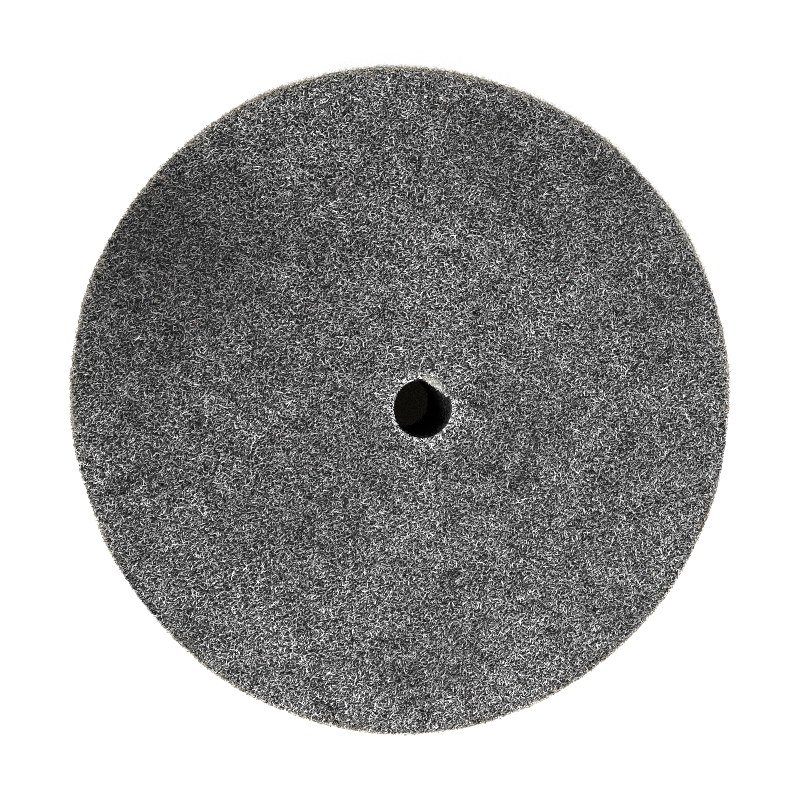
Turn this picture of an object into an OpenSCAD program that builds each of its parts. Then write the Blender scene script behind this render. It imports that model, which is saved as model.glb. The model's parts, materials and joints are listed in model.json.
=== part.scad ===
// Pressed polishing wheel of non-woven nylon web with a plain arbor bore.
// Discs of web are stacked, bonded with resin and trimmed to one diameter.
// The wheel lies on its back face. The origin is the centre of the bore on that face, and +Z runs
// along the bore to the front face.

/* [Wheel] */
// Diameter over the trimmed rim
wheel_d = 300; // [150:5:400]
// Thickness between the two faces
wheel_t = 50; // [25:1:75]
// Radius of the softened corner between a face and the rim
rim_corner_r = 1.5; // [0.2:0.1:3]

/* [Arbor bore] */
// Diameter of the bore
bore_d = 25.4; // [12:0.1:40]

/* [Plies] */
// Number of web discs in the stack
ply_count = 14; // [6:1:20]
// Thickness of the cured resin line between two plies
bond_t = 0.2; // [0.1:0.05:0.5]
// How far a resin line stops short of the rim and of the bore
bond_inset = 0.4; // [0.1:0.1:2]
// Radius at which the rim of each ply is pinched in towards a resin line
pinch_r = 0.5; // [0.1:0.05:1]

/* [Hidden] */
wheel_r = wheel_d / 2;
bore_r = bore_d / 2;
bond_count = ply_count - 1;
core_count = ply_count - 2;
ply_t = (wheel_t - bond_count * bond_t) / ply_count;
pitch = ply_t + bond_t;
// No corner takes more than its share of a ply's edge
max_corner_r = 0.45 * ply_t;
face_edge_r = min(rim_corner_r, max_corner_r);
pinch_edge_r = min(pinch_r, max_corner_r);
// How far a cutting shape runs past what it cuts
overcut = 1;
segments = 180;

web_colour = "#696969";
face_colour = "#747474";
resin_colour = "#34322f";

function two_digits(n) = str(n < 10 ? "0" : "", n);
CORE_PLIES = [for (i = [1:core_count]) str("core_ply_", two_digits(i))];
BOND_LINES = [for (i = [1:bond_count]) str("bond_line_", two_digits(i))];

// The waste outside a rounded corner whose tip is at the origin, below and to the right of the section
module corner_waste(r) {
    difference() {
        translate([-r, -overcut]) square([r + overcut, r + overcut]);
        translate([-r, r]) circle(r, $fn = segments);
    }
}

// Half section of a ply from the bore to the rim, with its lower and upper rim corners rounded
module ply_section(low_r, high_r) {
    difference() {
        translate([bore_r, 0]) square([wheel_r - bore_r, ply_t]);
        translate([wheel_r, 0]) corner_waste(low_r);
        translate([wheel_r, ply_t]) mirror([0, 1]) corner_waste(high_r);
    }
}

// One web disc, counted from 0 at the back face
module web_disc(index, low_r, high_r) {
    translate([0, 0, index * pitch])
        rotate_extrude($fn = segments)
            ply_section(low_r, high_r);
}

module back_face_ply() {
    color(face_colour) web_disc(0, face_edge_r, pinch_edge_r);
}

module core_ply(number) {
    color(web_colour) web_disc(number, pinch_edge_r, pinch_edge_r);
}

module front_face_ply() {
    color(face_colour) web_disc(ply_count - 1, pinch_edge_r, face_edge_r);
}

// The resin line on top of the ply with the number below it
module bond_line(number) {
    color(resin_colour)
        translate([0, 0, number * pitch - bond_t])
            difference() {
                cylinder(h = bond_t, r = wheel_r - bond_inset, $fn = segments);
                translate([0, 0, -overcut])
                    cylinder(h = bond_t + 2 * overcut, r = bore_r + bond_inset, $fn = segments);
            }
}

back_face_ply();
for (i = [1:core_count])
    core_ply(i);
front_face_ply();
for (i = [1:bond_count])
    bond_line(i);
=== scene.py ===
"""Looks for a pressed polishing wheel of non-woven nylon web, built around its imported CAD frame.

Each ply and each resin line is a slightly uneven ring. Many thousands of short closed tubes lie over them
as the web's loose fibres. The wheel's size, its bore and its plies are read from the frame. What the frame
doesn't hold, such as the fibres' sizes, the lights and the camera, is a named value near its function.
"""

import json
import math
from collections import namedtuple

import bpy
import numpy as np
from mathutils import Matrix, Vector


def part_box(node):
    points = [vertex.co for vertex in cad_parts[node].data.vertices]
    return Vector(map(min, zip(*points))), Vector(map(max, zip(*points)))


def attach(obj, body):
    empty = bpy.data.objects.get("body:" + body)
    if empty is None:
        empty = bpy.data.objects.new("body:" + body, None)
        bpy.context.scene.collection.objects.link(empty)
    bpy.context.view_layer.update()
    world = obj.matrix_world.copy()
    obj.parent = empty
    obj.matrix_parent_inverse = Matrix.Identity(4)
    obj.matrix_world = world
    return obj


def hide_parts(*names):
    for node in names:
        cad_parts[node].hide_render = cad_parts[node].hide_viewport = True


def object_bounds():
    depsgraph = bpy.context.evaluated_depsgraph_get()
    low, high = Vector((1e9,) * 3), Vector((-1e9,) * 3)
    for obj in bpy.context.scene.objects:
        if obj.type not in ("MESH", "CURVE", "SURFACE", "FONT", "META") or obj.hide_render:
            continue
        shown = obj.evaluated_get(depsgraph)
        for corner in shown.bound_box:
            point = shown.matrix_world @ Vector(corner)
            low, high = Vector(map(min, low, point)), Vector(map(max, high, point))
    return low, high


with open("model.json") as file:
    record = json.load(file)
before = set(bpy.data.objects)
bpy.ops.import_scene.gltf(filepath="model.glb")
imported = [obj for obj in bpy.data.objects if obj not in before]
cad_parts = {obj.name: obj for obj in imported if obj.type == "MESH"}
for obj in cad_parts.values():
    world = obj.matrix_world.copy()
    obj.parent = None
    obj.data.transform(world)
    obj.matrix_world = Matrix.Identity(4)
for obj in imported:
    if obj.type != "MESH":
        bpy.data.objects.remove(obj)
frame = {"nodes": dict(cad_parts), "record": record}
cad_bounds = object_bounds()

MM = 0.001
TAU = 2 * math.pi
# Added to a length so that dividing by it is never dividing by zero
TINY = 1e-12

# ---------------------------------------------------------------- sizes that the frame gives
CAD_LOW, CAD_HIGH = (np.array(corner) for corner in cad_bounds)
WHEEL_R = float(CAD_HIGH[0] - CAD_LOW[0]) / 2
BACK_Z, FRONT_Z = float(CAD_LOW[2]), float(CAD_HIGH[2])
THICKNESS = FRONT_Z - BACK_Z
BORE = next(mount for mount in frame["record"]["mounts"] if mount["name"] == "bore")
BORE_R = BORE["dims"]["r_mm"] * MM


def z_span(cad_node):
    """Lowest and highest point of a CAD node."""
    low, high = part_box(cad_node)
    return low[2], high[2]


BONDS = sorted(name for name in frame["nodes"] if name.startswith("bond_line"))
PLIES = sorted((name for name in frame["nodes"] if name not in BONDS), key=z_span)
PITCH = THICKNESS / len(PLIES)


# ---------------------------------------------------------------- seeded random fields
class Field:
    """A smooth random field that repeats in both directions, with zero mean and a spread of one."""

    def __init__(self, seed, span, grain, shape=(512, 512)):
        """span is the length of one repeat along each axis, and grain is the size of one blob."""
        self.shape, self.span = shape, span
        white = np.fft.rfft2(np.random.default_rng(seed).standard_normal(shape))
        along = np.fft.fftfreq(shape[0], span[0] / shape[0])[:, None]
        across = np.fft.rfftfreq(shape[1], span[1] / shape[1])[None, :]
        white *= np.exp(-0.5 * (TAU * grain / 2) ** 2 * (along**2 + across**2))
        white[0, 0] = 0
        grid = np.fft.irfft2(white, shape)
        self.grid = grid / grid.std()

    def at(self, along, across):
        """The field's value at each place, blended between the four nearest grid points."""
        a = np.asarray(along) / self.span[0] * self.shape[0]
        b = np.asarray(across) / self.span[1] * self.shape[1]
        row, column = np.floor(a).astype(int), np.floor(b).astype(int)
        past_row, past_column = a - row, b - column
        row, next_row = row % self.shape[0], (row + 1) % self.shape[0]
        column, next_column = column % self.shape[1], (column + 1) % self.shape[1]
        near = self.grid[row, column] * (1 - past_column)
        near = near + self.grid[row, next_column] * past_column
        far = self.grid[next_row, column] * (1 - past_column)
        far = far + self.grid[next_row, next_column] * past_column
        return near * (1 - past_row) + far * past_row


# A face's fields repeat only past the edge of the wheel.
FACE_SPAN = (2.2 * WHEEL_R, 2.2 * WHEEL_R)
RIM_LENGTH = TAU * WHEEL_R
RIM_SPAN = (RIM_LENGTH, THICKNESS)
# Each ply reads its own waves along a line of one field, this far from the next ply's line.
BAND = 80 * MM

face_clumps = Field(11, FACE_SPAN, 5 * MM)
face_lumps = Field(12, FACE_SPAN, 2 * MM)
face_clouds = Field(17, FACE_SPAN, 30 * MM)
rim_clumps = Field(13, RIM_SPAN, 6 * MM, (1024, 64))
rim_lumps = Field(14, RIM_SPAN, 2 * MM, (2048, 128))
outline_waves = Field(15, (RIM_LENGTH, 1.0), 20 * MM, (1024, 4))
ply_waves = Field(16, (RIM_LENGTH, len(PLIES) * BAND), 30 * MM, (1024, 32 * len(PLIES)))

# ---------------------------------------------------------------- the wheel's uneven surface
# The wheel is a little out of round: oval, with wide lobes, and with small waves on the rim and on each ply.
OVAL_HEIGHT = 1.4 * MM
OVAL_TURN = math.radians(140)
LOBES = 3
LOBE_HEIGHT = 0.6 * MM
LOBE_TURN = math.radians(24)
WAVE_HEIGHT = 0.15 * MM
# Heights of the mat's wide clumps and of its small lumps
FACE_CLUMP_HEIGHT = 0.16 * MM
RIM_CLUMP_HEIGHT = 0.15 * MM
LUMP_HEIGHT = 0.12 * MM
# Rounding of the corner between a face and the rim, followed this part of the way to where it is upright
CORNER_R = 1.5 * MM
CORNER_PART = 0.98


def ply_at(z):
    """Number of the ply at a height, counted from the back."""
    return np.clip(np.floor((z - BACK_Z) / PITCH), 0, len(PLIES) - 1).astype(int)


def outline(angle, z):
    """How far the trimmed rim strays from a true circle: the whole wheel, and then each ply by itself."""
    along = angle * WHEEL_R
    wide = OVAL_HEIGHT * np.cos(2 * (angle - OVAL_TURN)) + LOBE_HEIGHT * np.cos(LOBES * (angle - LOBE_TURN))
    whole = wide + WAVE_HEIGHT * outline_waves.at(along, 0 * along)
    return whole + WAVE_HEIGHT * ply_waves.at(along, ply_at(z) * BAND + 0 * along)


def face_relief(x, y):
    """Height of the mat's lumps on a face."""
    return FACE_CLUMP_HEIGHT * face_clumps.at(x, y) + LUMP_HEIGHT * face_lumps.at(x, y)


def rim_relief(angle, z):
    """Height of the rim above a true cylinder: the mat's lumps and the outline."""
    along = angle * WHEEL_R
    lumps = RIM_CLUMP_HEIGHT * rim_clumps.at(along, z) + LUMP_HEIGHT * rim_lumps.at(along, z)
    return lumps + outline(angle, z)


def corner_drop(past):
    """How far a surface falls away when a place is this far past the start of its rounded corner."""
    past = np.clip(past, 0, CORNER_PART * CORNER_R)
    return CORNER_R - np.sqrt(CORNER_R**2 - past**2)


# ---------------------------------------------------------------- meshes from arrays
def between(span, part):
    """The value that lies this part of the way from one end of a span to the other."""
    return span[0] + (span[1] - span[0]) * part


def flat_round(reach, angle):
    """Flat places from their distance to the axis and their angle."""
    return np.stack([reach * np.cos(angle), reach * np.sin(angle)], -1)


def round_points(reach, angle, z):
    """Points from their distance to the axis, their angle and their height."""
    return np.stack([reach * np.cos(angle), reach * np.sin(angle), z], -1)


def raised(flat, z):
    """Points from flat places and their heights."""
    return np.concatenate([flat, z[..., None]], -1)


def new_mesh(name, points, quads, triangles, material):
    """A smooth mesh object from arrays of points and corners, riding on the wheel's body."""
    mesh = bpy.data.meshes.new(name)
    mesh.vertices.add(len(points))
    mesh.vertices.foreach_set("co", np.ascontiguousarray(points, np.float32).ravel())
    corners = np.concatenate([quads.ravel(), triangles.ravel()]).astype(np.int32)
    counts = np.repeat([4, 3], [len(quads), len(triangles)])
    starts = np.cumsum(counts) - counts
    mesh.loops.add(len(corners))
    mesh.loops.foreach_set("vertex_index", corners)
    mesh.polygons.add(len(counts))
    mesh.polygons.foreach_set("loop_start", starts.astype(np.int32))
    mesh.polygons.foreach_set("use_smooth", np.ones(len(counts), bool))
    mesh.update(calc_edges=True)
    mesh.materials.append(material)
    piece = bpy.data.objects.new(name, mesh)
    bpy.context.scene.collection.objects.link(piece)
    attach(piece, "root")
    return piece


def ring_body(name, loops, material):
    """A closed ring. loops is (rows, segments, 3): its section's points in order, at each step round."""
    rows, segments = loops.shape[:2]
    row, step = np.meshgrid(np.arange(rows), np.arange(segments), indexing="ij")
    next_row, next_step = (row + 1) % rows, (step + 1) % segments
    corners = ((row, step), (row, next_step), (next_row, next_step), (next_row, step))
    quads = np.stack([r * segments + s for r, s in corners], -1).reshape(-1, 4)
    return new_mesh(name, loops.reshape(-1, 3), quads, np.empty((0, 3), int), material)


FIBRE_SIDES = 3
# The part of its texture cell that a fibre fills, along it and round it
CELL_LENGTH = (0.2, 0.8)
CELL_GIRTH = (0.1, 0.9)
# A path that is this close to upright is measured against the X axis instead of the Z axis.
STEEP = 0.8


def fibre_map(fibres, points):
    """Corner places on the square texture map: a cell for each fibre, with its length across the map."""
    cells = math.ceil(math.sqrt(fibres))
    number = np.arange(fibres)
    origin = np.stack([number % cells, number // cells], -1)
    step, side = np.meshgrid(np.arange(points - 1), np.arange(FIBRE_SIDES), indexing="ij")
    along = between(CELL_LENGTH, np.stack([step, step, step + 1, step + 1], -1) / (points - 1))
    around = between(CELL_GIRTH, np.stack([side, side + 1, side + 1, side], -1) / FIBRE_SIDES)
    tube = origin[:, None, None, None] + np.stack([along, around], -1)
    girth = between(CELL_GIRTH, np.arange(FIBRE_SIDES) / FIBRE_SIDES)
    start_cap = origin[:, None] + np.stack([np.full(FIBRE_SIDES, CELL_LENGTH[0]), girth[::-1]], -1)
    end_cap = origin[:, None] + np.stack([np.full(FIBRE_SIDES, CELL_LENGTH[1]), girth], -1)
    return np.concatenate([part.reshape(-1, 2) for part in (tube, start_cap, end_cap)]) / cells


def unit(vectors):
    """Each path's vectors at a length of one."""
    return vectors / (np.linalg.norm(vectors, axis=2, keepdims=True) + TINY)


def fibre_rings(paths, radii):
    """Points of a ring round each path point: (fibres, points, sides, 3)."""
    along = unit(np.gradient(paths, axis=1))
    steep = np.abs(along[..., 2:3]) >= STEEP
    side = unit(np.cross(along, np.where(steep, (1.0, 0.0, 0.0), (0.0, 0.0, 1.0))))
    up = np.cross(side, along)
    turn = TAU * np.arange(FIBRE_SIDES)[:, None] / FIBRE_SIDES + TAU / 4
    ring = side[:, :, None] * np.cos(turn) + up[:, :, None] * np.sin(turn)
    return paths[:, :, None] + ring * radii[:, :, None, None]


def fibre_mesh(name, paths, radii, tones, material):
    """Closed tubes, one along each path. paths is (fibres, points, 3) and radii is (fibres, points)."""
    fibres, points = paths.shape[:2]
    sides = FIBRE_SIDES
    first = (np.arange(fibres) * points * sides)[:, None, None]
    ring, side = np.arange(points - 1)[None, :, None] * sides, np.arange(sides)[None, None, :]
    next_side = (side + 1) % sides
    corners = (ring + side, ring + next_side, ring + sides + next_side, ring + sides + side)
    quads = np.stack([first + corner for corner in corners], -1).reshape(-1, 4)
    start_caps = first[:, 0] + np.arange(sides)[None, ::-1]
    end_caps = first[:, 0] + (points - 1) * sides + np.arange(sides)[None]
    surface = fibre_rings(paths, radii).reshape(-1, 3)
    piece = new_mesh(name, surface, quads, np.concatenate([start_caps, end_caps]), material)
    tone = piece.data.attributes.new("tone", "FLOAT", "POINT")
    tone.data.foreach_set("value", np.repeat(tones, points * sides).astype(np.float32))
    layer = piece.data.uv_layers.new(name="OFBake")
    layer.data.foreach_set("uv", fibre_map(fibres, points).astype(np.float32).ravel())
    return piece


# ---------------------------------------------------------------- shader nodes
def connect(tree, socket, value):
    """Links a socket to another node's output, or sets it to a plain value."""
    if isinstance(value, bpy.types.NodeSocket):
        tree.links.new(value, socket)
    else:
        socket.default_value = value


def set_inputs(tree, made, **inputs):
    """Sets a node's inputs by name. An underscore in a name stands for a space."""
    for name, value in inputs.items():
        connect(tree, made.inputs[name.replace("_", " ")], value)


def node(tree, kind, **inputs):
    """A new shader node with its inputs set."""
    made = tree.nodes.new("ShaderNode" + kind)
    set_inputs(tree, made, **inputs)
    return made


def calculate(tree, kind, operation, *values):
    """A new Math or VectorMath node with its inputs set in order."""
    made = tree.nodes.new("ShaderNode" + kind)
    made.operation = operation
    for socket, value in zip(made.inputs, values):
        connect(tree, socket, value)
    return made


def grey(level):
    """A colour, or any other triple, of three equal values."""
    return (level, level, level)


def ramp(tree, factor, *stops):
    """The colour of a ramp with two stops or more. Each stop is a position and a colour."""
    made = node(tree, "ValToRGB", Fac=factor)
    elements = made.color_ramp.elements
    while len(elements) < len(stops):
        elements.new(0.5)
    for element, (position, colour) in zip(elements, stops):
        element.position = position
        element.color = (*colour, 1)
    return made.outputs["Color"]


def new_material(name):
    """A material with one shader, and the object's own coordinates."""
    material = bpy.data.materials.new(name)
    material.use_nodes = True
    tree = material.node_tree
    tree.nodes.clear()
    shader = node(tree, "BsdfPrincipled")
    node(tree, "OutputMaterial", Surface=shader.outputs["BSDF"])
    place = node(tree, "TexCoord").outputs["Object"]
    return material, tree, shader, place


def noise(tree, place, scale, detail):
    """The outputs of a noise texture with this many blobs to a metre."""
    return node(tree, "TexNoise", Vector=place, Scale=scale, Detail=detail).outputs


# ---------------------------------------------------------------- materials
# Two sets of crossing strands: cells per metre, how far the lines wander in metres, and where each starts
COARSE_STRANDS = (620.0, 0.0011, (1.3, 2.21, 0.78))
FINE_STRANDS = (900.0, 0.0009, (4.1, 6.97, 2.46))
# Wobbles of a line to each cell
WOBBLE_SCALE = 0.55
# Distance from a cell's edge at which a strand starts to show, and at which it is full
STRAND_EDGE = 0.16
STRAND_MIDDLE = 0.04
# The web's colours are near black: painted shade in the pores under the loose fibres.
WEB_SHADES = ((0.0, grey(0.0012)), (0.6, grey(0.014)))
RESIN_SHADES = ((0.35, (0.012, 0.011, 0.010)), (0.7, (0.06, 0.058, 0.054)))


def strand_lines(tree, place, scale, wander, start):
    """Thin curving lines, like fibres that cross: 1 on a line and 0 between."""
    shifted = node(tree, "Mapping", Vector=place, Location=start).outputs[0]
    wobble = noise(tree, shifted, scale * WOBBLE_SCALE, detail=2.0)["Color"]
    centred = calculate(tree, "VectorMath", "SUBTRACT", wobble, grey(0.5)).outputs[0]
    moved = calculate(tree, "VectorMath", "MULTIPLY_ADD", centred, grey(wander), shifted).outputs[0]
    cells = node(tree, "TexVoronoi", Vector=moved, Scale=scale)
    cells.feature = "DISTANCE_TO_EDGE"
    line = node(tree, "MapRange", Value=cells.outputs["Distance"])
    set_inputs(tree, line, From_Min=STRAND_EDGE, From_Max=STRAND_MIDDLE)
    return line.outputs["Result"]


def web_material():
    """The dense web under the loose fibres: crossing strands over dark pores, near black all over as painted
    shade under the fibres.
    """
    material, tree, shader, place = new_material("web")
    coarse, fine = (strand_lines(tree, place, *strands) for strands in (COARSE_STRANDS, FINE_STRANDS))
    strands = calculate(tree, "Math", "MAXIMUM", coarse, fine).outputs[0]
    clouds = noise(tree, place, scale=160.0, detail=3.0)["Fac"]
    amount = calculate(tree, "Math", "MULTIPLY", strands, clouds).outputs[0]
    colour = ramp(tree, amount, *WEB_SHADES)
    bump = node(tree, "Bump", Height=strands, Strength=0.8, Distance=0.3 * MM).outputs[0]
    set_inputs(tree, shader, Base_Color=colour, Normal=bump, Roughness=0.75, Specular_IOR_Level=0.05)
    return material


def fibre_material(name, dark, light):
    """Resin-coated nylon: each fibre has its own tone, and noise darkens and lightens it in small patches
    along it, partly dirt and partly painted glints.
    """
    material, tree, shader, place = new_material(name)
    own = node(tree, "Attribute")
    own.attribute_name = "tone"
    # Painted glints: this noise lightens each fibre in small patches along it, and darkens it in others.
    patches = noise(tree, place, scale=1400.0, detail=2.0)["Fac"]
    grime_and_glints = node(tree, "MapRange", Value=patches, From_Min=0.3, From_Max=0.7, To_Min=0.55, To_Max=1.45)
    tone = calculate(tree, "Math", "MULTIPLY", own.outputs["Fac"], grime_and_glints.outputs[0]).outputs[0]
    colour = ramp(tree, tone, (0.0, dark), (1.0, light))
    set_inputs(tree, shader, Base_Color=colour, Roughness=0.5, Specular_IOR_Level=0.1)
    return material


def resin_material():
    """Cured resin between the plies: dark brown-black, lighter in patches."""
    material, tree, shader, place = new_material("resin")
    spots = noise(tree, place, scale=400.0, detail=4.0)["Fac"]
    colour = ramp(tree, spots, *RESIN_SHADES)
    set_inputs(tree, shader, Base_Color=colour, Roughness=0.4)
    return material


# The floor's glow, and the distances from the axis where it starts and where it is full
FLOOR_GLOW = 0.79
GLOW_STARTS = 0.8 * WHEEL_R
GLOW_FULL = 1.06 * WHEEL_R


def floor_material():
    """A pale floor that glows like a light table, except under the wheel."""
    material, tree, shader, place = new_material("light_table")
    distance = calculate(tree, "VectorMath", "LENGTH", place).outputs["Value"]
    glow = node(tree, "MapRange", Value=distance, To_Max=FLOOR_GLOW)
    set_inputs(tree, glow, From_Min=GLOW_STARTS, From_Max=GLOW_FULL)
    set_inputs(tree, shader, Base_Color=(*grey(0.5), 1), Roughness=0.8, Emission_Color=(*grey(1), 1),
               Emission_Strength=glow.outputs[0])
    material.cycles.emission_sampling = "NONE"
    return material


WEB = web_material()
FIBRE = fibre_material("fibre", dark=grey(0.0015), light=grey(0.66))
# Pale tan fibres at the outer edge: their pale tone is a painted highlight where light catches the outermost
# fibres.
EDGE_HIGHLIGHT_FIBRE = fibre_material("edge_highlight_fibre", dark=(0.01, 0.009, 0.007), light=(0.59, 0.53, 0.41))
# Cream fibres for the lip's pale tuft, a painted highlight.
CREAM_FIBRE = fibre_material("cream_fibre", dark=(0.01, 0.01, 0.008), light=(0.78, 0.79, 0.68))
RUSTY_FIBRE = fibre_material("rusty_fibre", dark=(0.02, 0.01, 0.007), light=(0.3, 0.16, 0.12))
RESIN = resin_material()

# ---------------------------------------------------------------- the dense plies and the resin lines
SEGMENTS = 720
FACE_ROWS = 100
# The dense web stops short of the wheel's surface by these depths, and loose fibres fill the rest.
FACE_DEPTH = 1.3 * MM
RIM_DEPTH = 1.0 * MM
BORE_DEPTH = 0.4 * MM
# A resin line stops this far short of the bore's wall.
RESIN_DEPTH = 0.5 * MM
INNER_R = BORE_R + BORE_DEPTH
OUTER_R = WHEEL_R - RIM_DEPTH
# Where a ply's section has points on its rim and on its bore, as parts of its height
RIM_PARTS = (0.15, 0.35, 0.65, 0.85)
BORE_PARTS = (0.33, 0.67)
# How far the middle of a ply's rim and of a resin line's rim swells out
PLY_BULGE = 0.35 * MM
RESIN_BULGE = 0.15 * MM
# The points of a section that are nearer to the face than this are the dense web's own face.
FACE_REACH = 1.01 * FACE_DEPTH
# A face follows the uneven outline over this width, and is round nearer the bore.
OUTLINE_WIDTH = 20 * MM


def ring_loops(section, z_middle, face_z=None):
    """Points of a ring from its section, (radius, height) pairs, with the outline's and the mat's lumps."""
    angle = TAU * np.arange(SEGMENTS) / SEGMENTS
    loops = []
    for radius, z in section:
        reach = np.full(SEGMENTS, radius)
        height = np.full(SEGMENTS, z)
        share = np.clip(1 - (OUTER_R - radius) / OUTLINE_WIDTH, 0, 1)
        reach += share * rim_relief(angle, z_middle)
        if face_z is not None and abs(z - face_z) < FACE_REACH:
            lift = face_relief(reach * np.cos(angle), reach * np.sin(angle))
            height += lift if face_z > BACK_Z else -lift
        loops.append(round_points(reach, angle, height))
    return np.stack(loops)


def ply_section(low, high, low_rows, high_rows):
    """Section of a ply, from the bore's lower edge out and back: (radius, height) pairs."""
    section = [(radius, low) for radius in np.linspace(INNER_R, OUTER_R, low_rows)]
    section += [(OUTER_R + PLY_BULGE * math.sin(math.pi * part), between((low, high), part))
                for part in RIM_PARTS]
    section += [(radius, high) for radius in np.linspace(OUTER_R, INNER_R, high_rows)]
    section += [(INNER_R, between((high, low), part)) for part in BORE_PARTS]
    return section


def make_ply(ply):
    """The dense body of a ply. A face ply stops short of its face and has the mat's lumps there."""
    low, high = z_span(ply)
    middle = (low + high) / 2
    if ply == PLIES[0]:
        section = ply_section(low + FACE_DEPTH, high, FACE_ROWS, 2)
        loops = ring_loops(section, middle, BACK_Z)
    elif ply == PLIES[-1]:
        section = ply_section(low, high - FACE_DEPTH, 2, FACE_ROWS)
        loops = ring_loops(section, middle, FRONT_Z)
    else:
        loops = ring_loops(ply_section(low, high, 2, 2), middle)
    body = ring_body("web_" + ply, loops, WEB)
    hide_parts(ply)


def make_resin_line(bond):
    """The cured resin between two plies, with a wavy rim that is set back between theirs."""
    low, high = z_span(bond)
    middle = (low + high) / 2
    inner = BORE_R + RESIN_DEPTH
    section = [(inner, low), (OUTER_R, low), (OUTER_R + RESIN_BULGE, middle), (OUTER_R, high), (inner, high)]
    line = ring_body(bond.replace("bond", "resin"), ring_loops(section, middle), RESIN)
    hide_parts(bond)


for ply in PLIES:
    make_ply(ply)
for bond in BONDS:
    make_resin_line(bond)

# ---------------------------------------------------------------- paths of loose fibres
# A layer of fibres is split into sectors with about this many triangles each at most.
MOST_TRIANGLES = 160000
# The fibres of a face run more this way than across it.
GRAIN = math.radians(38)
GRAIN_BIAS = 1.05
# How unlike the fibres' lengths are, and their limits as parts of the mean
LENGTH_SPREAD = 0.3
LENGTH_LIMITS = (0.5, 1.9)
# How much a fibre's bend changes along it, as a part of the fibres' bends
WIGGLE = 0.4
# How unlike the fibres' radii are, their limits as parts of the mean, and how fine a fibre's ends are
RADIUS_SPREAD = 0.2
RADIUS_LIMITS = (0.6, 1.6)
END_TAPER = 0.6
# Above 1, more of the fibres are dark than light.
SHADE_SKEW = 1.05
# How uneven a fibre's height is along it
JITTER = 0.06 * MM
# Points of a path that curls
PATH_POINTS = 3
rng = np.random.default_rng(2024)

# A layer of fibres: their spacing, mean length, path points and radius, how deep they lie, and their tones
Layer = namedtuple("Layer", "cell length points radius depths tones")


def scattered(width, height, cell):
    """One random place in each cell of a grid over the width and the height."""
    columns, rows = round(width / cell), round(height / cell)
    column, row = (part.ravel() for part in np.meshgrid(np.arange(columns), np.arange(rows)))
    return ((column + rng.uniform(0, 1, column.size)) * width / columns,
            (row + rng.uniform(0, 1, row.size)) * height / rows)


def curls(count, mean_length, bend, grain=GRAIN, bias=GRAIN_BIAS, points=PATH_POINTS):
    """Flat curling paths about the origin, (count, points, 2), that run more along the grain than across."""
    length = mean_length * np.exp(rng.normal(0, LENGTH_SPREAD, count)).clip(*LENGTH_LIMITS)
    heading = rng.uniform(0, TAU, count)
    heading += bias * np.sin(2 * (grain - heading))
    step = length / (points - 1)
    curve = rng.normal(0, bend, count)[:, None] + rng.normal(0, WIGGLE * bend, (count, points))
    turns = heading[:, None] + np.cumsum(curve * step[:, None], 1)
    moves = np.stack([np.cos(turns), np.sin(turns)], -1)[:, :-1] * step[:, None, None]
    path = np.concatenate([np.zeros((count, 1, 2)), np.cumsum(moves, 1)], 1)
    return path - path.mean(1, keepdims=True)


def fibre_radii(count, radius, points=PATH_POINTS):
    """Radii along each fibre: its own thickness, and finer at both ends."""
    thickness = radius * np.exp(rng.normal(0, RADIUS_SPREAD, count)).clip(*RADIUS_LIMITS)
    taper = np.ones(points)
    taper[[0, -1]] = END_TAPER
    return thickness[:, None] * taper


def kept_within(flat, low, high):
    """Each path moved along its own radius so that it stays between the two radii."""
    reach = np.linalg.norm(flat, axis=2)
    middle = flat.mean(1)
    out = middle / np.linalg.norm(middle, axis=1, keepdims=True)
    shift = np.maximum(low - reach.min(1), 0) - np.maximum(reach.max(1) - high, 0)
    return flat + (out * shift[:, None])[:, None]


def lay_fibres(prefix, paths, radii, tones, slot, material=FIBRE):
    """Makes the fibres in sectors round the wheel, each a piece, with like tones side by side on its map."""
    tubes = FIBRE_SIDES * 2 * (paths.shape[1] - 1)
    caps = 2
    sectors = math.ceil(len(paths) * (tubes + caps) / MOST_TRIANGLES)
    middle = paths.mean(1)
    turn = np.arctan2(middle[:, 1], middle[:, 0]) % TAU
    sector = np.minimum((turn / TAU * sectors).astype(int), sectors - 1)
    for number in range(sectors):
        chosen = np.flatnonzero(sector == number)
        chosen = chosen[np.argsort(tones[chosen])]
        name = f"{prefix}_{number + 1:02d}" if sectors > 1 else prefix
        piece = fibre_mesh(name, paths[chosen], radii[chosen], tones[chosen], material)


def joined(*layers):
    """Several layers' paths, radii and tones as one layer's."""
    return (np.concatenate(part) for part in zip(*layers))


# ---------------------------------------------------------------- fibres of the two faces
# The deep layer's near-black tones are painted shade in the mat's pores.
FACE_DEEP = Layer(1.1 * MM, 1.7 * MM, 2, 0.21 * MM, (0.05 * MM, 0.7 * MM), (0.0, 0.075))
FACE_NAP = Layer(0.86 * MM, 1.0 * MM, 2, 0.15 * MM, (0.0, 0.45 * MM), (0.05, 0.84))
FACE_CURLS = Layer(2.0 * MM, 2.2 * MM, PATH_POINTS, 0.15 * MM, (0.0, 0.35 * MM), (0.03, 0.75))
FACE_BEND = 0.38 / MM
# The back's fibres are this much coarser and further apart.
BACK_SCALE = 1.8
# The share of a face's places that have a fibre, and how much it changes with the mat's clumps
FACE_COVER = 0.93
CLUMP_COVER = 0.05
# Mean and spread of how far past the outline a face's fibres may reach
EDGE_REACH = -0.35 * MM
EDGE_SPREAD = 0.15 * MM
# A face's fibres lie this deep and more, and the middle of a curl is this much higher than its ends.
FACE_SINK = 0.1 * MM
HUMP = 0.15 * MM
# No path of a face's fibres stands further out of it than this.
MOST_PROUD = 0.3 * MM
# A face's fibres keep outside the worn mouth of the bore, which is shifted this way by this much.
MOUTH_R = BORE_R + 0.7 * MM
MOUTH_SHIFT = 0.4 * MM
MOUTH_TURN = math.radians(-25)
# Over this width, the mouth's edge falls away by this part of a corner's rounding.
MOUTH_SLOPE_WIDTH = 0.7 * MM
MOUTH_DROP = 0.5
# No part of the outline is further out than this.
MOST_R = WHEEL_R + 3 * MM
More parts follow.
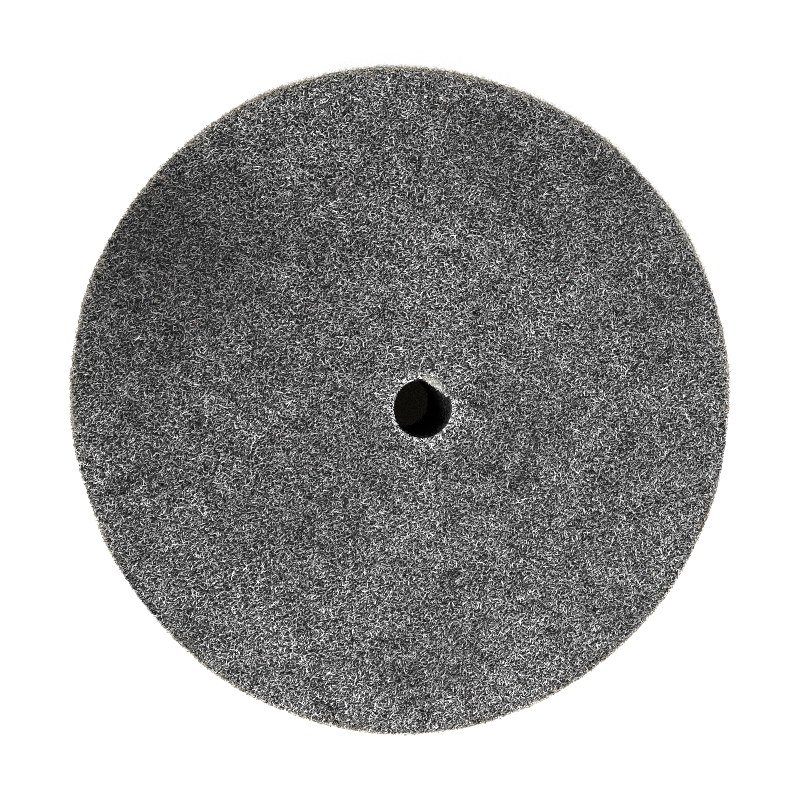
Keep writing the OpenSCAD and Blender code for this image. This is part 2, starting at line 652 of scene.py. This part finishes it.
# Painted light and shade: patches of a face that are darker or lighter than the rest, standing in for the
# light's fall-off across it: their middle, spread and how much lighter
PAINTED_LIGHT_PATCHES = (
    ((-0.82 * WHEEL_R, 0.5 * WHEEL_R), 42 * MM, -0.6),
    ((0.05 * WHEEL_R, -0.7 * WHEEL_R), 45 * MM, 0.2),
    ((-0.45 * WHEEL_R, -0.92 * WHEEL_R), 30 * MM, 0.7),
    ((0.3 * WHEEL_R, -0.97 * WHEEL_R), 30 * MM, 0.6),
)
CLOUD_TONE = 0.11
CLUMP_TONE = 0.08
# The web is lighter round the bore's mouth, partly from wear and partly as a painted highlight on the
# mouth's fibres.
WEAR_AND_HIGHLIGHT_TONE = 4.2
WEAR_AND_HIGHLIGHT_WIDTH = 2.4 * MM


def face_tone(x, y):
    """How light the web is from place to place on a face: clouds, clumps, patches of painted light and
    shade, and a lighter ring round the bore, partly wear and partly painted highlight.
    """
    tone = 1 + CLOUD_TONE * face_clouds.at(x, y) + CLUMP_TONE * face_clumps.at(x, y)
    # Each patch lightens the tone as painted light, or darkens it as painted shade.
    for middle, spread, lighter in PAINTED_LIGHT_PATCHES:
        distance = np.hypot(x - middle[0], y - middle[1])
        tone *= 1 + lighter * np.exp(-(distance / spread) ** 2 / 2)
    # Lighter ring round the bore's mouth: partly wear, partly painted highlight.
    wear_and_highlight = np.exp(-np.maximum(np.hypot(x, y) - BORE_R, 0) / WEAR_AND_HIGHLIGHT_WIDTH)
    return tone * (1 + WEAR_AND_HIGHLIGHT_TONE * wear_and_highlight)


def face_places(cell, face_z):
    """Random places on a face, a little fewer where the web is thin, and the outline's radius at each."""
    x, y = scattered(2 * MOST_R, 2 * MOST_R, cell)
    x, y = x - MOST_R, y - MOST_R
    reach = np.hypot(x, y)
    edge = WHEEL_R + outline(np.arctan2(y, x), 0 * x + face_z)
    on_face = (reach > BORE_R) & (reach < edge)
    keep = on_face & (rng.uniform(0, 1, len(x)) < FACE_COVER + CLUMP_COVER * face_clumps.at(x, y))
    return x[keep], y[keep], edge[keep]


def face_layer(layer, scale, face_z, side):
    """One layer of fibres in the mat of a face. side is 1 where it looks up and -1 where it looks down."""
    x, y, edge = face_places(layer.cell * scale, face_z)
    count, points = len(x), layer.points
    flat = curls(count, layer.length * scale, FACE_BEND, points=points) + np.stack([x, y], -1)[:, None]
    mouth = MOUTH_R + MOUTH_SHIFT * np.cos(np.arctan2(y, x) - MOUTH_TURN)
    flat = kept_within(flat, mouth, edge + rng.normal(EDGE_REACH, EDGE_SPREAD, count))
    depth = FACE_SINK + rng.uniform(*layer.depths, count)
    hump = HUMP * np.sin(np.linspace(0, math.pi, points))
    height = face_relief(flat[..., 0], flat[..., 1]) - depth[:, None] + hump
    height += JITTER * rng.standard_normal(height.shape)
    reach = np.linalg.norm(flat, axis=2)
    height -= corner_drop(reach - edge[:, None] + CORNER_R)
    height -= MOUTH_DROP * corner_drop(mouth[:, None] + MOUTH_SLOPE_WIDTH - reach)
    z = face_z + side * np.minimum(height, MOST_PROUD)
    radii = fibre_radii(count, layer.radius * scale, points)
    if side < 0:
        # The wheel stands on its back, so no fibre reaches below it.
        z = np.maximum(z, face_z + radii)
    tone = between(layer.tones, rng.uniform(0, 1, count) ** SHADE_SKEW) * face_tone(x, y)
    return raised(flat, z), radii, tone


def face_fibres(prefix, scale, face_z, side):
    """A face's fibres: deep ones in near-black tones as painted shade in the pores, short nap and longer
    curls. scale makes them coarser and fewer.
    """
    deep = face_layer(FACE_DEEP, scale, face_z, side)
    nap = face_layer(FACE_NAP, scale, face_z, side)
    lay_fibres(prefix + "_nap", *joined(deep, nap), "face_web")
    lay_fibres(prefix + "_curls", *face_layer(FACE_CURLS, scale, face_z, side), "face_web")


# ---------------------------------------------------------------- fibres of the rim and the bore
# The deep layer's near-black tones are painted shade in the rim's pores.
RIM_DEEP = Layer(1.25 * MM, 1.8 * MM, 2, 0.2 * MM, (0.1 * MM, 0.6 * MM), (0.0, 0.06))
# The nap and curls are darker than the face's as painted shade, so that the more brightly lit rim looks no
# lighter than the face.
RIM_NAP = Layer(1.05 * MM, 1.3 * MM, 2, 0.16 * MM, (0.0, 0.4 * MM), (0.02, 0.52))
RIM_CURLS = Layer(1.9 * MM, 2.6 * MM, PATH_POINTS, 0.16 * MM, (0.0, 0.25 * MM), (0.03, 0.52))
RIM_BEND = 0.5 / MM
RIM_BIAS = 0.45
# The rim's fibres keep this far from the faces, and they lie this deep and more.
RIM_MARGIN = 0.3 * MM
RIM_SINK = 0.25 * MM
# A ply's fibres stop this many millimetres short of a resin line. The few that cross it go this far past.
RESIN_GAP = (0.25, 0.6)
CROSSING_PART = 0.05
CROSSING_REACH = 1
# How far a ply's fibres fall back beside a resin line
PINCH = 0.5 * MM
# How unlike the plies are in tone, and how much lighter the rim's clumps are
PLY_TONE_SPREAD = 0.16
RIM_CLUMP_TONE = 0.12
ply_tones = 1 + PLY_TONE_SPREAD * np.random.default_rng(31).standard_normal(len(PLIES))


def rim_layer(layer):
    """One layer of fibres on the rim: they lie along the plies, and few cross a resin line."""
    low, high = BACK_Z + RIM_MARGIN, FRONT_Z - RIM_MARGIN
    along, z = scattered(RIM_LENGTH, high - low, layer.cell)
    z = z + low
    count = len(z)
    flat = curls(count, layer.length, RIM_BEND, grain=0.0, bias=RIM_BIAS, points=layer.points)
    flat += np.stack([along, z], -1)[:, None]
    middle = (BACK_Z + (ply_at(z) + 0.5) * PITCH)[:, None]
    crosses = rng.uniform(0, 1, count) < CROSSING_PART
    room = PITCH / 2 - np.where(crosses, -CROSSING_REACH, rng.uniform(*RESIN_GAP, count))[:, None] * MM
    flat[..., 1] = np.clip(np.clip(flat[..., 1], middle - room, middle + room), low, high)
    depth = RIM_SINK + rng.uniform(*layer.depths, count)
    angle = flat[..., 0] / WHEEL_R
    height = rim_relief(angle, z[:, None] + 0 * angle)
    height -= depth[:, None] + PINCH * (np.abs(flat[..., 1] - middle) / PITCH * 2) ** 3
    height += JITTER * rng.standard_normal(height.shape)
    height -= corner_drop(CORNER_R - np.minimum(flat[..., 1] - BACK_Z, FRONT_Z - flat[..., 1]))
    shade = between(layer.tones, rng.uniform(0, 1, count) ** SHADE_SKEW)
    tone = shade * ply_tones[ply_at(z)] * (1 + RIM_CLUMP_TONE * rim_clumps.at(along, z))
    paths = round_points(WHEEL_R + height, angle, flat[..., 1])
    return paths, fibre_radii(count, layer.radius, layer.points), tone


def rim_fibres():
    """The rim's fibres: deep ones in near-black tones as painted shade in the pores, and short nap and
    longer curls, darkened as painted shade.
    """
    lay_fibres("rim_nap", *joined(rim_layer(RIM_DEEP), rim_layer(RIM_NAP)), "core_web")
    lay_fibres("rim_curls", *rim_layer(RIM_CURLS), "core_web")


BORE_CELL = 1.1 * MM
BORE_LENGTH = 2.0 * MM
BORE_BEND = 0.7 / MM
BORE_BIAS = 0.3
BORE_FIBRE_R = 0.16 * MM
# The bore's near-black tones are painted shade: they keep the wall dark where the key light reaches into the
# bore.
BORE_TONES = (0, 0.015)
# The middles of the bore's fibres keep this far from the faces, and their ends keep at least this far.
BORE_MARGIN = 1 * MM
BORE_LIMIT = 0.4 * MM
# How far the bore's fibres stand in from its wall, and how uneven each is
BORE_INWARD = (-0.35 * MM, 0.25 * MM)
BORE_JITTER = 0.12 * MM


def bore_fibres():
    """Short fibres on the bore's wall, near black as painted shade inside the bore."""
    along, z = scattered(TAU * BORE_R, THICKNESS - 2 * BORE_MARGIN, BORE_CELL)
    z = z + BACK_Z + BORE_MARGIN
    count = len(z)
    flat = curls(count, BORE_LENGTH, BORE_BEND, grain=0.0, bias=BORE_BIAS)
    flat += np.stack([along, z], -1)[:, None]
    height = np.clip(flat[..., 1], BACK_Z + BORE_LIMIT, FRONT_Z - BORE_LIMIT)
    inward = rng.uniform(*BORE_INWARD, (count, 1)) + BORE_JITTER * rng.standard_normal((count, PATH_POINTS))
    paths = round_points(BORE_R - inward, flat[..., 0] / BORE_R, height)
    tones = rng.uniform(*BORE_TONES, count)
    lay_fibres("bore_fibres", paths, fibre_radii(count, BORE_FIBRE_R), tones, "core_web")


# ---------------------------------------------------------------- the bore's frayed lip
FRAY_TRIES = 5600
# The combed-out web covers the side of the bore's mouth that lies this way from the axis. Its fibres' places
# have this mean and spread from there, in radians.
FRAY_TURN = math.radians(54)
FRAY_LEAN = 0.08
FRAY_SPREAD = 0.45
# The lip covers the bore as far in as a chord this far from the axis, with a ragged edge.
FRAY_CHORD = 11.5 * MM
FRAY_RAGGED = 0.25 * MM
# It ends this far outside the bore's wall, and thins out over this length.
FRAY_REACH = 3.2 * MM
FRAY_FADE = 0.8 * MM
FRAY_LENGTH = 1.5 * MM
FRAY_BEND = 0.8 / MM
FRAY_BIAS = 0.4
FRAY_FIBRE_R = 0.13 * MM
# The highest fibres' height over the face, how deep they lie, and how uneven each is
FRAY_TOP = 0.15 * MM
FRAY_DEPTH = 1.0 * MM
FRAY_JITTER = 0.08 * MM
# The lip sags into the bore at this slope, from this far outside its wall.
FRAY_SAG = 0.5
FRAY_SAG_STARTS = 1 * MM
# The lip's fibres are skewed to dark.
FRAY_TONES = (0, 0.8)
FRAY_SKEW = 2
# Where the lip's pale tuft is, how far it spreads, and its tones. Its pale cream is a painted highlight
# where light catches the lip on the bore's +Y side.
TUFT_TURN = math.radians(80)
TUFT_SPREAD = math.radians(20)
TUFT_TONES = (0.12, 0.42)


def frayed_places():
    """Random places on the frayed lip: their distance to the axis and their angle."""
    turn = FRAY_TURN + rng.normal(FRAY_LEAN, FRAY_SPREAD, FRAY_TRIES)
    reach = rng.uniform(FRAY_CHORD, BORE_R + FRAY_REACH, FRAY_TRIES)
    across = reach * np.cos(turn - FRAY_TURN)
    beyond = np.maximum(reach - BORE_R, 0)
    ragged = rng.normal(0, FRAY_RAGGED, FRAY_TRIES)
    keep = (across > FRAY_CHORD + ragged) & (rng.uniform(0, 1, FRAY_TRIES) < np.exp(-beyond / FRAY_FADE))
    return reach[keep], turn[keep]


def frayed_lip():
    """Combed-out web over one side of the bore's mouth, straight along a chord, with a pale tuft that is a
    painted highlight.
    """
    reach, turn = frayed_places()
    count = len(reach)
    flat = curls(count, FRAY_LENGTH, FRAY_BEND, grain=FRAY_TURN + TAU / 4, bias=FRAY_BIAS)
    flat += flat_round(reach, turn)[:, None]
    sag = FRAY_SAG * np.maximum(BORE_R + FRAY_SAG_STARTS - reach, 0)
    height = FRAY_TOP - rng.uniform(0, FRAY_DEPTH, count) - sag
    z = FRONT_Z + height[:, None] + FRAY_JITTER * rng.standard_normal((count, PATH_POINTS))
    paths = raised(flat, z)
    radii = fibre_radii(count, FRAY_FIBRE_R)
    tuft = rng.uniform(0, 1, count) < np.exp(-((turn - TUFT_TURN) / TUFT_SPREAD) ** 2)
    pale = rng.uniform(*TUFT_TONES, count)
    tones = np.where(tuft, pale, rng.uniform(*FRAY_TONES, count) ** FRAY_SKEW)
    lay_fibres("frayed_lip", paths[~tuft], radii[~tuft], tones[~tuft], "face_web")
    lay_fibres("pale_tuft", paths[tuft], radii[tuft], tones[tuft], "face_web", CREAM_FIBRE)


# ---------------------------------------------------------------- pale tan fibres at the outer edge, a painted highlight
# The pale edge fibres' mean cover, and how much it changes from patch to patch
EDGE_HIGHLIGHT_COVER = 0.66
EDGE_HIGHLIGHT_PATCHES = 0.35
# They read their patches along another line of the outline's waves.
EDGE_HIGHLIGHT_LINE = 0.5

HAIR_TRIES = 16000
HAIR_RADIUS = 0.08 * MM
HAIR_TONES = (0.1, 0.75)
# This part of the hairs is close to the front corner, and the rest is anywhere on the rim.
HAIRS_AT_CORNER = 0.7
HAIR_FADE = 2.2 * MM
# The hairs' roots keep this far from the front and from the back, and lie this deep in the rim.
HAIR_TOP = 0.2 * MM
HAIR_FOOT = 0.8 * MM
HAIR_ROOT = 0.6 * MM
# No hair hangs nearer to the back than this.
HAIR_LIMIT = 0.4 * MM
# A hair reaches out by the least, and by the rest times the square of a random part.
HAIR_LEAST = 0.5 * MM
HAIR_REST = 1.3 * MM
HAIR_PARTS = (0.1, 1.0)
# A hair follows this part of a half wave outwards, and strays round the rim and in height by this spread.
HAIR_CURL = 0.6
HAIR_SWEEP = 1.2 * MM
HAIR_STRAY = 0.5 * MM

LIT_EDGE_TRIES = 7500
LIT_EDGE_LENGTH = 1.3 * MM
LIT_EDGE_RADIUS = 0.1 * MM
LIT_EDGE_TONES = (0.05, 0.5)
# The pale edge thins out over this length inwards, and its fibres lie between these heights on the mat.
LIT_EDGE_FADE = 1.4 * MM
LIT_EDGE_HEIGHTS = (-0.25 * MM, 0.05 * MM)
# Mean and spread of how far past the outline its fibres may reach
LIT_EDGE_REACH = 0.1 * MM
LIT_EDGE_SPREAD = 0.25 * MM


def edge_highlight_angles(tries):
    """Random angles round the wheel, more of them where the pale edge fibres are thick."""
    angle = rng.uniform(0, TAU, tries)
    thick = EDGE_HIGHLIGHT_COVER + EDGE_HIGHLIGHT_PATCHES * outline_waves.at(angle * WHEEL_R, EDGE_HIGHLIGHT_LINE)
    return angle[rng.uniform(0, 1, tries) < thick]


def stray_hairs():
    """Fine pale tan hairs that stand out from the rim in patches, most of them close to its front corner.
    Their pale tone is a painted highlight on the outermost fibres.
    """
    angle = edge_highlight_angles(HAIR_TRIES)
    count = len(angle)
    near_corner = rng.uniform(0, 1, count) < HAIRS_AT_CORNER
    below = np.where(near_corner, rng.exponential(HAIR_FADE, count), rng.uniform(0, THICKNESS, count))
    z = np.maximum(FRONT_Z - HAIR_TOP - below, BACK_Z + HAIR_FOOT)
    out = HAIR_REST * rng.uniform(*HAIR_PARTS, count) ** 2 + HAIR_LEAST
    step = np.linspace(0, 1, PATH_POINTS)
    root = WHEEL_R - HAIR_ROOT + outline(angle, z)
    reach = root[:, None] + out[:, None] * np.sin(step * math.pi * HAIR_CURL)
    turn = angle[:, None] + rng.normal(0, HAIR_SWEEP, count)[:, None] * step / WHEEL_R
    lift = z[:, None] + rng.normal(0, HAIR_STRAY, count)[:, None] * step
    paths = round_points(reach, turn, np.clip(lift, BACK_Z + HAIR_LIMIT, FRONT_Z))
    tones = rng.uniform(*HAIR_TONES, count)
    lay_fibres("stray_hairs", paths, fibre_radii(count, HAIR_RADIUS), tones, "core_web", EDGE_HIGHLIGHT_FIBRE)


def lit_edge():
    """Pale tan fibres that lie over the front face's outer edge in patches, and thin out further in. Their
    pale tone is a painted highlight along the edge.
    """
    angle = edge_highlight_angles(LIT_EDGE_TRIES)
    count = len(angle)
    edge = WHEEL_R + outline(angle, FRONT_Z)
    reach = edge - rng.exponential(LIT_EDGE_FADE, count)
    flat = curls(count, LIT_EDGE_LENGTH, FACE_BEND)
    flat += flat_round(reach, angle)[:, None]
    flat = kept_within(flat, MOUTH_R, edge + rng.normal(LIT_EDGE_REACH, LIT_EDGE_SPREAD, count))
    height = face_relief(flat[..., 0], flat[..., 1]) + rng.uniform(*LIT_EDGE_HEIGHTS, count)[:, None]
    height -= corner_drop(np.linalg.norm(flat, axis=2) - edge[:, None] + CORNER_R)
    paths = raised(flat, FRONT_Z + height)
    tones = rng.uniform(*LIT_EDGE_TONES, count)
    lay_fibres("lit_edge", paths, fibre_radii(count, LIT_EDGE_RADIUS), tones, "face_web", EDGE_HIGHLIGHT_FIBRE)


# ---------------------------------------------------------------- specks
SPECKS = 45
SPECK_LENGTH = 1.6 * MM
SPECK_BEND = 0.6 / MM
SPECK_RADIUS = 0.12 * MM
SPECK_DEPTH = 0.05 * MM
SPECK_TONES = (0.3, 1)
# The specks lie between these parts of the face's area, and within this part of its radius.
SPECK_AREA = (0.01, 1)
SPECK_REACH = 0.98


def rusty_specks():
    """A few reddish threads caught in the front face."""
    reach = WHEEL_R * SPECK_REACH * np.sqrt(rng.uniform(*SPECK_AREA, SPECKS))
    turn = rng.uniform(0, TAU, SPECKS)
    flat = curls(SPECKS, SPECK_LENGTH, SPECK_BEND)
    flat += flat_round(reach, turn)[:, None]
    z = FRONT_Z + face_relief(flat[..., 0], flat[..., 1]) - SPECK_DEPTH
    tones = rng.uniform(*SPECK_TONES, SPECKS)
    radii = fibre_radii(SPECKS, SPECK_RADIUS)
    lay_fibres("rusty_specks", raised(flat, z), radii, tones, "face_web", RUSTY_FIBRE)


# The fibres are made in this order, because they all draw from one random sequence.
face_fibres("front", scale=1.0, face_z=FRONT_Z, side=1)
face_fibres("back", scale=BACK_SCALE, face_z=BACK_Z, side=-1)
rim_fibres()
bore_fibres()
frayed_lip()
stray_hairs()
lit_edge()
rusty_specks()

# ---------------------------------------------------------------- floor, lights and camera
FLOOR_SIZE = 60
# The sky by the height of a direction: white at the horizon, softer above, and warm and dim overhead
SKY = ((0.35, grey(1.0)), (0.6, grey(0.5)), (0.86, grey(0.5)), (0.96, (0.13, 0.12, 0.075)))
# The key light's place, width and power
KEY_PLACE = (-0.62, -1.0, 1.05)
KEY_SIZE = 0.9
KEY_WATTS = 140
# The camera is almost straight above the front face and looks a little to one side of the bore. Its lens
# is this many times as long as its sensor is wide.
SENSOR_MM = 36
LENS_PER_WIDTH = 1.0625
EYE = Vector((-0.07474, 0.0275, FRONT_Z + 0.3723))
TARGET = Vector((-0.01017, 0.00375, FRONT_Z))


def make_floor():
    """A wide floor that the wheel lies on."""
    bpy.ops.mesh.primitive_plane_add(size=FLOOR_SIZE, location=(0, 0, BACK_Z))
    floor = bpy.context.object
    floor.name = "floor"
    floor.data.materials.append(floor_material())


def make_sky():
    """Soft light from all round, which changes with the height of its direction."""
    world = bpy.data.worlds.new("studio")
    bpy.context.scene.world = world
    world.use_nodes = True
    tree = world.node_tree
    direction = node(tree, "SeparateXYZ", Vector=node(tree, "TexCoord").outputs["Generated"])
    glow = ramp(tree, direction.outputs["Z"], *SKY)
    set_inputs(tree, tree.nodes["Background"], Color=glow, Strength=1.0)


def make_key_light():
    """A large soft light to one side of the wheel, aimed at it."""
    data = bpy.data.lights.new("key", "AREA")
    data.shape = "SQUARE"
    data.size, data.energy = KEY_SIZE, KEY_WATTS
    lamp = bpy.data.objects.new("key", data)
    lamp.location = KEY_PLACE
    aim = Vector((0, 0, THICKNESS)) - Vector(KEY_PLACE)
    lamp.rotation_euler = aim.to_track_quat("-Z", "Y").to_euler()
    bpy.context.scene.collection.objects.link(lamp)


def make_camera():
    """The camera, turned so that its own right has no part along the wheel's Y axis."""
    data = bpy.data.cameras.new("camera")
    data.sensor_width = SENSOR_MM
    data.lens = SENSOR_MM * LENS_PER_WIDTH
    camera = bpy.data.objects.new("camera", data)
    back = (EYE - TARGET).normalized()
    right = Vector((back.z, 0, -back.x)).normalized()
    camera.matrix_world = Matrix((right, back.cross(right), back)).transposed().to_4x4()
    camera.location = EYE
    bpy.context.scene.collection.objects.link(camera)
    bpy.context.scene.camera = camera


make_floor()
make_sky()
make_key_light()
make_camera()
bpy.context.scene.view_settings.view_transform = "Standard"
bpy.context.scene.cycles.pixel_filter_type = "BOX"
bpy.context.scene.cycles.use_denoising = False
